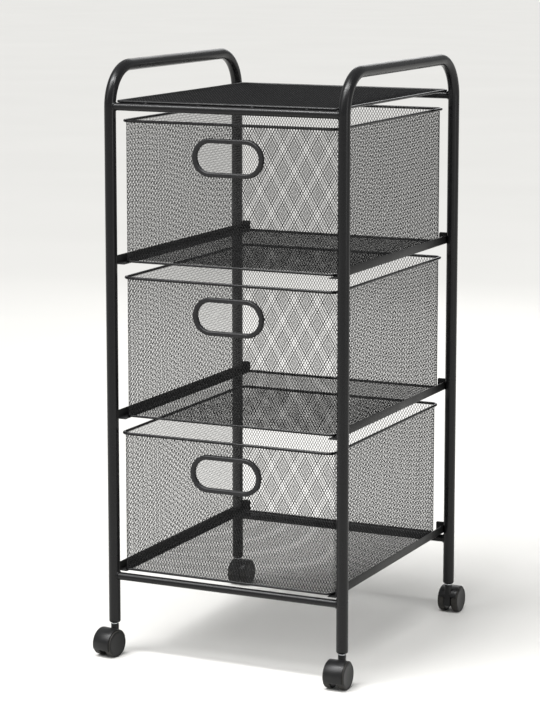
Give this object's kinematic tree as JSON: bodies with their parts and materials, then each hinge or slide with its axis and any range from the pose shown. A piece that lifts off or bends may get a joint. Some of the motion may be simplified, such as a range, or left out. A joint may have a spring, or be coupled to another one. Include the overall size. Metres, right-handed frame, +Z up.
{
  "type": "rolling pantry cart",
  "caption": "Narrow rolling cart: two bent-tube side frames with push handles, a mesh shelf, sliding mesh drawers on rails and twin-wheel swivel casters.",
  "frame": {"origin": "on the floor under the middle of the cart", "axes": "+Z up, -Y towards the front that the drawers open to, +X to the right as seen from the front"},
  "size_m": [0.3805, 0.4548, 0.823],
  "materials": {
    "frame_tube": "satin black powder coat on round steel tube",
    "rail_sheet": "satin black powder coat on folded steel sheet",
    "wire": "black powder coat on steel wire",
    "mesh": "black powder coat on expanded steel mesh",
    "grip_plastic": "moulded satin black plastic",
    "plug_plastic": "moulded black plastic",
    "stem_steel": "bright zinc-plated steel",
    "axle_steel": "bright steel pin",
    "caster_plastic": "moulded satin black nylon",
    "wheel_plastic": "moulded black nylon"
  },
  "bodies": {
    "frame": {"left_side_frame": "frame_tube", "right_side_frame": "frame_tube", "front_top_crossbar": "frame_tube", "front_bottom_crossbar": "frame_tube", "rear_top_crossbar": "frame_tube", "rear_bottom_crossbar": "frame_tube", "shelf_frame": "wire", "shelf_mesh": "mesh", "left_bottom_rail": "rail_sheet", "right_bottom_rail": "rail_sheet", "left_middle_rail": "rail_sheet", "right_middle_rail": "rail_sheet", "left_top_rail": "rail_sheet", "right_top_rail": "rail_sheet", "front_left_leg_plug": "plug_plastic", "front_left_caster_stem": "stem_steel", "front_right_leg_plug": "plug_plastic", "front_right_caster_stem": "stem_steel", "rear_left_leg_plug": "plug_plastic", "rear_left_caster_stem": "stem_steel", "rear_right_leg_plug": "plug_plastic", "rear_right_caster_stem": "stem_steel"},
    "bottom_drawer": {"bottom_drawer_rim": "wire", "bottom_drawer_basket": "mesh", "bottom_drawer_base_wire": "wire", "bottom_drawer_grip_outer": "grip_plastic", "bottom_drawer_grip_inner": "grip_plastic"},
    "middle_drawer": {"middle_drawer_rim": "wire", "middle_drawer_basket": "mesh", "middle_drawer_base_wire": "wire", "middle_drawer_grip_outer": "grip_plastic", "middle_drawer_grip_inner": "grip_plastic"},
    "top_drawer": {"top_drawer_rim": "wire", "top_drawer_basket": "mesh", "top_drawer_base_wire": "wire", "top_drawer_grip_outer": "grip_plastic", "top_drawer_grip_inner": "grip_plastic"},
    "front_left_caster": {"front_left_caster_housing": "caster_plastic", "front_left_caster_axle": "axle_steel"},
    "front_left_left_wheel": {"front_left_caster_left_wheel": "wheel_plastic"},
    "front_left_right_wheel": {"front_left_caster_right_wheel": "wheel_plastic"},
    "front_right_caster": {"front_right_caster_housing": "caster_plastic", "front_right_caster_axle": "axle_steel"},
    "front_right_left_wheel": {"front_right_caster_left_wheel": "wheel_plastic"},
    "front_right_right_wheel": {"front_right_caster_right_wheel": "wheel_plastic"},
    "rear_left_caster": {"rear_left_caster_housing": "caster_plastic", "rear_left_caster_axle": "axle_steel"},
    "rear_left_left_wheel": {"rear_left_caster_left_wheel": "wheel_plastic"},
    "rear_left_right_wheel": {"rear_left_caster_right_wheel": "wheel_plastic"},
    "rear_right_caster": {"rear_right_caster_housing": "caster_plastic", "rear_right_caster_axle": "axle_steel"},
    "rear_right_left_wheel": {"rear_right_caster_left_wheel": "wheel_plastic"},
    "rear_right_right_wheel": {"rear_right_caster_right_wheel": "wheel_plastic"}
  },
  "joints": [
    {"name": "bottom_drawer_slide", "type": "slide", "parent": "frame", "child": "bottom_drawer", "axis": [0, -1, 0], "range_m": [-0.009, 0.181]},
    {"name": "middle_drawer_slide", "type": "slide", "parent": "frame", "child": "middle_drawer", "axis": [0, -1, 0], "range_m": [0, 0.19]},
    {"name": "top_drawer_slide", "type": "slide", "parent": "frame", "child": "top_drawer", "axis": [0, -1, 0], "range_m": [0, 0.19]},
    {"name": "front_left_swivel", "type": "hinge", "parent": "frame", "child": "front_left_caster", "pos_m": [-0.1725, -0.1935, 0.043], "axis": [0, 0, 1], "continuous": true},
    {"name": "front_left_left_wheel_roll", "type": "hinge", "parent": "front_left_caster", "child": "front_left_left_wheel", "pos_m": [-0.17476, -0.2063, 0.01825], "axis": [0.9848, -0.1736, 0], "continuous": true},
    {"name": "front_left_right_wheel_roll", "type": "hinge", "parent": "front_left_caster", "child": "front_left_right_wheel", "pos_m": [-0.17476, -0.2063, 0.01825], "axis": [0.9848, -0.1736, 0], "continuous": true},
    {"name": "front_right_swivel", "type": "hinge", "parent": "frame", "child": "front_right_caster", "pos_m": [0.1725, -0.1935, 0.043], "axis": [0, 0, 1], "continuous": true},
    {"name": "front_right_left_wheel_roll", "type": "hinge", "parent": "front_right_caster", "child": "front_right_left_wheel", "pos_m": [0.1725, -0.2065, 0.01825], "axis": [1, 0, 0], "continuous": true},
    {"name": "front_right_right_wheel_roll", "type": "hinge", "parent": "front_right_caster", "child": "front_right_right_wheel", "pos_m": [0.1725, -0.2065, 0.01825], "axis": [1, 0, 0], "continuous": true},
    {"name": "rear_left_swivel", "type": "hinge", "parent": "frame", "child": "rear_left_caster", "pos_m": [-0.1725, 0.1935, 0.043], "axis": [0, 0, 1], "continuous": true},
    {"name": "rear_left_left_wheel_roll", "type": "hinge", "parent": "rear_left_caster", "child": "rear_left_left_wheel", "pos_m": [-0.1725, 0.2065, 0.01825], "axis": [1, 0, 0], "continuous": true},
    {"name": "rear_left_right_wheel_roll", "type": "hinge", "parent": "rear_left_caster", "child": "rear_left_right_wheel", "pos_m": [-0.1725, 0.2065, 0.01825], "axis": [1, 0, 0], "continuous": true},
    {"name": "rear_right_swivel", "type": "hinge", "parent": "frame", "child": "rear_right_caster", "pos_m": [0.1725, 0.1935, 0.043], "axis": [0, 0, 1], "continuous": true},
    {"name": "rear_right_left_wheel_roll", "type": "hinge", "parent": "rear_right_caster", "child": "rear_right_left_wheel", "pos_m": [0.1725, 0.2065, 0.01825], "axis": [1, 0, 0], "continuous": true},
    {"name": "rear_right_right_wheel_roll", "type": "hinge", "parent": "rear_right_caster", "child": "rear_right_right_wheel", "pos_m": [0.1725, 0.2065, 0.01825], "axis": [1, 0, 0], "continuous": true}
  ]
}
